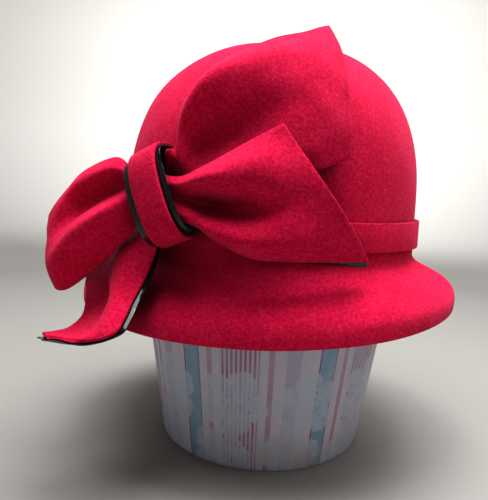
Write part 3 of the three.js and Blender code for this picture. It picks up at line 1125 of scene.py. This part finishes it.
LOOP_RIBBON: tuple[Section, ...] = (
    OnCrown(3.3, 0.39, 29.5, -0.178, (0.68, 0.73, 0.75, 0.74, 0.68, 0.58, 0.46), 1),
    OnCrown(-3.1, 0.34, 12.3, -0.178, (0.66, 0.88, 0.9, 0.76, 0.8, 0.76, 0.5), 0.5),
    OnCrown(-9.4, 0.279, -1.8, -0.173, (0.68, 1, 0.92, 0.5, 0.84, 0.92, 0.56), 0.1),
    OnCrown(-15.7, 0.216, -11.3, -0.109, (0.72, 1.02, 0.78, 0.42, 0.86, 0.94, 0.6)),
    InKnot(0.52, 0.2, -0.9, (0.5, 0.74, 0.46, 0.02, 0.5, 0.66, 0.42)),
    InKnot(0, 0.6, -0.55, (0.82, 0.97, 0.94, 0.86, 0.94, 0.97, 0.82)),
    InKnot(-0.52, 0.9, -0.2, (0.15, 0.42, 0.34, 0.46, 0.64, 0.55, 0.45)),
    OnCrown(-43.5, 0.245, -36, -0.1, (0.85, 1, 0.72, 0.94, 1.26, 1.1, 0.82)),
    OnCrown(-51.5, 0.17, -42, -0.25, (1.2, 1.38, 1.08, 1.4, 1.62, 1.42, 1.12)),
    OnCrown(-54.8, 0.02, -48.2, -0.39, (1.6, 1.68, 1.68, 1.76, 1.82, 1.72, 1.54)),
    OnCrown(-58.5, -0.05, -54, -0.4, (1.66, 1.7, 1.7, 1.74, 1.74, 1.7, 1.64)),
    OnCrown(-62.5, 0, -58, -0.34, (1.36, 1.38, 1.4, 1.4, 1.4, 1.38, 1.36)),
    OnCrown(-56, 0.1, -53, -0.2, (0.86, 0.86, 0.86, 0.86, 0.86, 0.86, 0.86)),
    OnCrown(-46, 0.21, -44.5, 0.04, (0.42, 0.42, 0.42, 0.42, 0.42, 0.42, 0.42)),
    InKnot(-0.37, 0.72, 0.2, (-0.45, -0.45, -0.45, -0.45, -0.45, -0.45, -0.45)),
)

# How far the lower leaf's lining hangs below its felt.
LEAF_SAG = 2.2


@dataclass
class RoundBox:
    """A tapered tub of board, open at the top, with printed paper outside."""

    base_radius: float = 70.5
    rim_radius: float = 88.4
    height: float = 126.0
    wall: float = 2.0
    foot_softness: float = 1.2
    rim_softness: float = 0.7
    steps: int = 160
    wall_rings: int = 12

    def build(self, paper: Material) -> Object:
        """Make the box.

        Args:
            paper: The printed paper finish.

        Returns:
            The box's object.
        """
        share = self.wall / self.height
        floor_radius = self.base_radius + (self.rim_radius - self.base_radius) * share - self.wall
        foot = np.array([self.base_radius, 0.0])
        rim = np.array([self.rim_radius, self.height])
        rim_in = np.array([self.rim_radius - self.wall, self.height])
        floor = np.array([floor_radius, self.wall])
        wall_points = [foot + (rim - foot) * t for t in np.linspace(0.03, 0.97, self.wall_rings)]
        profile = [
            np.array([self.base_radius * 0.5, 0.0]),
            *rounded_corner(foot, np.zeros(2), rim, self.foot_softness),
            *wall_points,
            *rounded_corner(rim, foot, rim_in, self.rim_softness),
            *rounded_corner(rim_in, rim, floor, self.rim_softness),
            floor,
            np.array([floor_radius * 0.5, self.wall]),
        ]
        points = turned(profile, self.steps)
        faces = [*ring_faces(range(len(profile)), self.steps), *end_fans(len(points), self.steps)]
        points = np.concatenate([points, [[0, 0, 0], [0, 0, self.wall]]])
        return Piece("round_box_papered", "round_box", paper, Slot.BOARD).make(points, faces, 35.0)


@dataclass(frozen=True)
class Softbox:
    """A soft area light: where it hangs, its side and watts, and what it is aimed at."""

    name: str
    place: tuple[float, float, float]
    size: float
    watts: float
    target: tuple[float, float, float] = (0.0, 0.0, 160.0)

    def build(self) -> Object:
        """Make the light.

        Returns:
            The light's object.
        """
        data = bpy.data.lights.new(self.name, "AREA")
        data.size = self.size * MM
        data.energy = self.watts
        lamp = bpy.data.objects.new(self.name, data)
        bpy.context.collection.objects.link(lamp)
        lamp.location = Vector(self.place) * MM
        lamp.rotation_euler = (Vector(self.target) - Vector(self.place)).to_track_quat("-Z", "Y").to_euler()
        return lamp


@dataclass
class Studio:
    """A pale floor, soft light from above and the camera at the photograph's viewing angle."""

    lens_px: float = 488.0
    frame_px: float = 500.0
    sensor: float = 36.0
    eye: tuple[float, float, float] = (7.8, -346.6, 168.1)
    yaw: float = -0.071
    pitch: float = 0.123
    roll: float = 0.044
    floor_down: float = 0.2
    flat_radius: float = 1500.0
    bend_radius: float = 900.0
    wall_height: float = 1700.0
    floor_steps: int = 96
    bend_steps: int = 12
    room: str = "#e9e8e4"
    room_strength: float = 0.05
    softboxes: tuple[Softbox, ...] = (
        Softbox("overhead_softbox", (130, -20, 950), 500, 10.5),
        Softbox("left_softbox", (-180, -150, 950), 500, 8.0),
        Softbox("right_softbox", (450, -150, 800), 500, 2.6),
        Softbox("right_rim", (350, 330, 850), 400, 3.0),
        Softbox("backdrop_wash", (0, 1200, 1000), 900, 22.0, (0, 2400, 500)),
    )

    def camera(self) -> Object:
        """Make the camera and set it as the scene's own.

        Returns:
            The camera's object.
        """
        data = bpy.data.cameras.new("photo_camera")
        data.sensor_width = self.sensor
        data.sensor_fit = "AUTO"
        data.lens = self.lens_px / self.frame_px * self.sensor
        data.clip_start = 0.01
        camera = bpy.data.objects.new("photo_camera", data)
        bpy.context.collection.objects.link(camera)
        level = math.cos(self.pitch)
        ahead = Vector((math.sin(self.yaw) * level, math.cos(self.yaw) * level, -math.sin(self.pitch)))
        right = Vector((math.cos(self.yaw), -math.sin(self.yaw), 0.0))
        up = right.cross(ahead)
        side = right * math.cos(self.roll) + up * math.sin(self.roll)
        top = up * math.cos(self.roll) - right * math.sin(self.roll)
        turn = Matrix((side, top, -ahead)).transposed()
        camera.matrix_world = Matrix.Translation(Vector(self.eye) * MM) @ turn.to_4x4()
        bpy.context.scene.camera = camera
        return camera

    def sweep(self, paper: Material) -> Object:
        """Make the seamless sweep: a flat round floor that bends up into a wall far behind.

        Args:
            paper: The backdrop finish.

        Returns:
            The sweep's object.
        """
        bend = [
            (self.flat_radius + self.bend_radius * math.sin(a), self.bend_radius * (1 - math.cos(a)))
            for a in np.linspace(0, math.pi / 2, self.bend_steps + 1)
        ]
        profile = [*bend, (bend[-1][0], self.wall_height)]
        points = turned(profile, self.floor_steps) - [0, 0, self.floor_down]
        floor = tuple(reversed(range(self.floor_steps)))
        faces = [floor, *ring_faces(range(len(profile)), self.floor_steps)]
        return smooth_mesh("floor_sweep", points, faces, paper)

    def build(self) -> None:
        """Make the floor, the lights, the pale surroundings and the camera."""
        self.camera()
        floor = self.sweep(PaleBackdrop().build())
        for softbox in self.softboxes:
            softbox.build()
        world = bpy.data.worlds.new("pale_room")
        world.use_nodes = True
        background = world.node_tree.nodes["Background"]
        background.inputs["Color"].default_value = linear(self.room)
        background.inputs["Strength"].default_value = self.room_strength
        bpy.context.scene.world = world
        bpy.context.scene.view_settings.view_transform = "Standard"
        log.info("studio ready")


def main() -> None:
    """Build the hat on its box, in the studio."""
    logging.basicConfig(level=logging.INFO, format="%(name)s: %(message)s")
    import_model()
    Studio().build()

    felt = BrushedWoolFelt().build()
    patent = PatentLeather().build()
    box = RoundBox()
    paper = PrintedPaper().build((box.base_radius + box.rim_radius) / 2)
    box.build(paper)

    crown = CrownShape()
    # The hat's own level, the foot of the crown, follows from where the band sits in the frame.
    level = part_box("band")[1][2] / MM - crown.side_height
    FeltHood(crown, level).build(felt)
    FeltBand(crown, level).build(felt)
    knot = Knot(crown, level)
    knot.build(felt, patent)
    for name, rows, sag in (("tail_ribbon", TAIL_RIBBON, 0.0), ("loop_ribbon", LOOP_RIBBON, LEAF_SAG)):
        Ribbon(name, rows, crown, knot, level, sag=sag).build(felt, patent)


if __name__ == "__main__":
    main()
